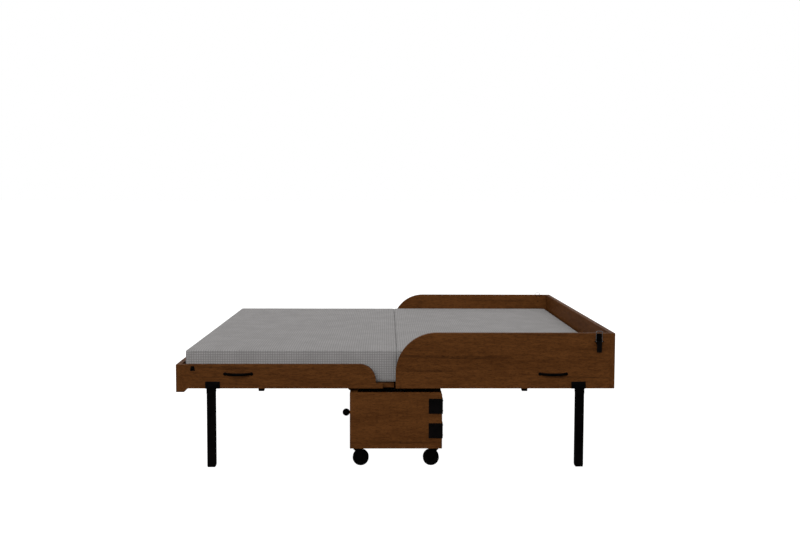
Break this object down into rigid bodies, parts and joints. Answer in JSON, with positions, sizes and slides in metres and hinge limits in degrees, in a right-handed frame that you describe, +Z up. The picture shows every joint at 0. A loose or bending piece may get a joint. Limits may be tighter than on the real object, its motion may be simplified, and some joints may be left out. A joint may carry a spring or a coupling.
{
  "type": "murphy wall bed",
  "caption": "Cabinet on casters whose two hinged halves fold down to head and foot into a double bed on drop legs, with drawers in the base.",
  "frame": {"origin": "on the floor under the middle of the open bed", "axes": "+X along the bed towards the head, +Y across it, +Z up; the front of the closed cabinet faces -X"},
  "size_m": [2.11, 1.7176, 0.6657],
  "materials": {
    "walnut": "satin dark walnut veneer",
    "walnut_inner": "plain dark board",
    "black_metal": "satin black powder coat",
    "wheel_rubber": "matt black rubber",
    "wire": "bright zinc plate",
    "mattress_cloth": "light grey woven cover"
  },
  "bodies": {
    "base": {"base_front_frame": "walnut", "base_end_near": "walnut", "base_end_far": "walnut", "base_back_board": "walnut", "base_bottom_panel": "walnut_inner", "base_top_strip": "walnut", "well_lining": "walnut_inner", "drawer_guides": "walnut_inner", "corner_plates": "black_metal", "hinge_base_leaves": "black_metal", "head_pivots": "black_metal", "caster_plates": "black_metal", "fixed_forks": "black_metal"},
    "drawer_near": {"drawer_front_near": "walnut", "drawer_tray_near": "walnut_inner", "drawer_knobs_near": "black_metal"},
    "drawer_far": {"drawer_front_far": "walnut", "drawer_tray_far": "walnut_inner", "drawer_knobs_far": "black_metal"},
    "foot_half": {"foot_platform": "walnut", "false_doors": "walnut", "foot_side_near": "walnut", "foot_side_far": "walnut", "foot_crown_board": "walnut", "foot_mattress": "mattress_cloth", "foot_mattress_fold": "mattress_cloth", "door_knobs": "black_metal", "foot_handles": "black_metal", "hinge_door_leaves": "black_metal", "latch_keepers": "black_metal", "foot_leg_brackets": "black_metal"},
    "head_half": {"head_platform": "walnut", "head_side_near": "walnut", "head_side_far": "walnut", "head_end_board": "walnut", "head_mattress": "mattress_cloth", "head_mattress_fold": "mattress_cloth", "head_handles": "black_metal", "latch_bodies": "black_metal", "head_leg_brackets": "black_metal"},
    "foot_leg_near": {"leg_foot_near": "black_metal"},
    "foot_leg_far": {"leg_foot_far": "black_metal"},
    "head_leg_near": {"leg_head_near": "black_metal"},
    "head_leg_far": {"leg_head_far": "black_metal"},
    "lever_near": {"latch_lever_near": "black_metal"},
    "lever_far": {"latch_lever_far": "black_metal"},
    "bail_near": {"latch_bail_near": "wire"},
    "bail_far": {"latch_bail_far": "wire"},
    "swivel_1": {"swivel_fork_1": "black_metal"},
    "swivel_2": {"swivel_fork_2": "black_metal"},
    "swivel_3": {"swivel_fork_3": "black_metal"},
    "swivel_4": {"swivel_fork_4": "black_metal"},
    "wheel_1": {"wheel_1": "wheel_rubber"},
    "wheel_2": {"wheel_2": "wheel_rubber"},
    "wheel_3": {"wheel_3": "wheel_rubber"},
    "wheel_4": {"wheel_4": "wheel_rubber"},
    "wheel_5": {"wheel_5": "wheel_rubber"},
    "wheel_6": {"wheel_6": "wheel_rubber"},
    "wheel_7": {"wheel_7": "wheel_rubber"},
    "wheel_8": {"wheel_8": "wheel_rubber"}
  },
  "joints": [
    {"name": "foot_fold", "type": "hinge", "parent": "base", "child": "foot_half", "pos_m": [-0.182, 0, 0.376], "axis": [0, 1, 0], "range_deg": [0, 90], "deforming": ["foot_mattress_fold"]},
    {"name": "head_fold", "type": "hinge", "parent": "base", "child": "head_half", "pos_m": [0.2015, 0, 0.3955], "axis": [0, -1, 0], "range_deg": [0, 90], "deforming": ["head_mattress_fold"]},
    {"name": "drawer_near_slide", "type": "slide", "parent": "base", "child": "drawer_near", "axis": [-1, 0, 0], "range_m": [0, 0.3]},
    {"name": "drawer_far_slide", "type": "slide", "parent": "base", "child": "drawer_far", "axis": [-1, 0, 0], "range_m": [0, 0.3]},
    {"name": "foot_leg_near_hinge", "type": "hinge", "parent": "foot_half", "child": "foot_leg_near", "pos_m": [-0.89, -0.81, 0.36], "axis": [0, -1, 0], "range_deg": [0, 90]},
    {"name": "foot_leg_far_hinge", "type": "hinge", "parent": "foot_half", "child": "foot_leg_far", "pos_m": [-0.89, 0.81, 0.36], "axis": [0, -1, 0], "range_deg": [0, 90]},
    {"name": "head_leg_near_hinge", "type": "hinge", "parent": "head_half", "child": "head_leg_near", "pos_m": [0.89, -0.81, 0.36], "axis": [0, 1, 0], "range_deg": [0, 90]},
    {"name": "head_leg_far_hinge", "type": "hinge", "parent": "head_half", "child": "head_leg_far", "pos_m": [0.89, 0.81, 0.36], "axis": [0, 1, 0], "range_deg": [0, 90]},
    {"name": "lever_near_hinge", "type": "hinge", "parent": "head_half", "child": "lever_near", "pos_m": [0.975, -0.837, 0.622], "axis": [-1, 0, 0], "range_deg": [0, 110]},
    {"name": "bail_near_hinge", "type": "hinge", "parent": "lever_near", "child": "bail_near", "pos_m": [0.975, -0.838, 0.614], "axis": [1, 0, 0], "range_deg": [0, 110]},
    {"name": "lever_far_hinge", "type": "hinge", "parent": "head_half", "child": "lever_far", "pos_m": [0.975, 0.837, 0.622], "axis": [1, 0, 0], "range_deg": [0, 110]},
    {"name": "bail_far_hinge", "type": "hinge", "parent": "lever_far", "child": "bail_far", "pos_m": [0.975, 0.838, 0.614], "axis": [-1, 0, 0], "range_deg": [0, 110]},
    {"name": "swivel_1_turn", "type": "hinge", "parent": "base", "child": "swivel_1", "pos_m": [-0.184, -0.792, 0.093], "axis": [0, 0, 1], "continuous": true},
    {"name": "swivel_2_turn", "type": "hinge", "parent": "base", "child": "swivel_2", "pos_m": [-0.184, 0.792, 0.093], "axis": [0, 0, 1], "continuous": true},
    {"name": "swivel_3_turn", "type": "hinge", "parent": "base", "child": "swivel_3", "pos_m": [0.184, -0.792, 0.093], "axis": [0, 0, 1], "continuous": true},
    {"name": "swivel_4_turn", "type": "hinge", "parent": "base", "child": "swivel_4", "pos_m": [0.184, 0.792, 0.093], "axis": [0, 0, 1], "continuous": true},
    {"name": "wheel_1_spin", "type": "hinge", "parent": "swivel_1", "child": "wheel_1", "pos_m": [-0.171, -0.792, 0.039], "axis": [0, 1, 0], "continuous": true},
    {"name": "wheel_2_spin", "type": "hinge", "parent": "base", "child": "wheel_2", "pos_m": [-0.171, -0.264, 0.039], "axis": [0, 1, 0], "continuous": true},
    {"name": "wheel_3_spin", "type": "hinge", "parent": "base", "child": "wheel_3", "pos_m": [-0.171, 0.264, 0.039], "axis": [0, 1, 0], "continuous": true},
    {"name": "wheel_4_spin", "type": "hinge", "parent": "swivel_2", "child": "wheel_4", "pos_m": [-0.171, 0.792, 0.039], "axis": [0, 1, 0], "continuous": true},
    {"name": "wheel_5_spin", "type": "hinge", "parent": "swivel_3", "child": "wheel_5", "pos_m": [0.171, -0.792, 0.039], "axis": [0, 1, 0], "continuous": true},
    {"name": "wheel_6_spin", "type": "hinge", "parent": "base", "child": "wheel_6", "pos_m": [0.171, -0.264, 0.039], "axis": [0, 1, 0], "continuous": true},
    {"name": "wheel_7_spin", "type": "hinge", "parent": "base", "child": "wheel_7", "pos_m": [0.171, 0.264, 0.039], "axis": [0, 1, 0], "continuous": true},
    {"name": "wheel_8_spin", "type": "hinge", "parent": "swivel_4", "child": "wheel_8", "pos_m": [0.171, 0.792, 0.039], "axis": [0, 1, 0], "continuous": true}
  ],
  "couplings": [
    {"joint": "foot_leg_near_hinge", "follows": "foot_fold", "ratio": 1},
    {"joint": "foot_leg_far_hinge", "follows": "foot_fold", "ratio": 1},
    {"joint": "head_leg_near_hinge", "follows": "head_fold", "ratio": 1},
    {"joint": "head_leg_far_hinge", "follows": "head_fold", "ratio": 1},
    {"joint": "bail_near_hinge", "follows": "lever_near_hinge", "ratio": 1},
    {"joint": "bail_far_hinge", "follows": "lever_far_hinge", "ratio": 1}
  ]
}
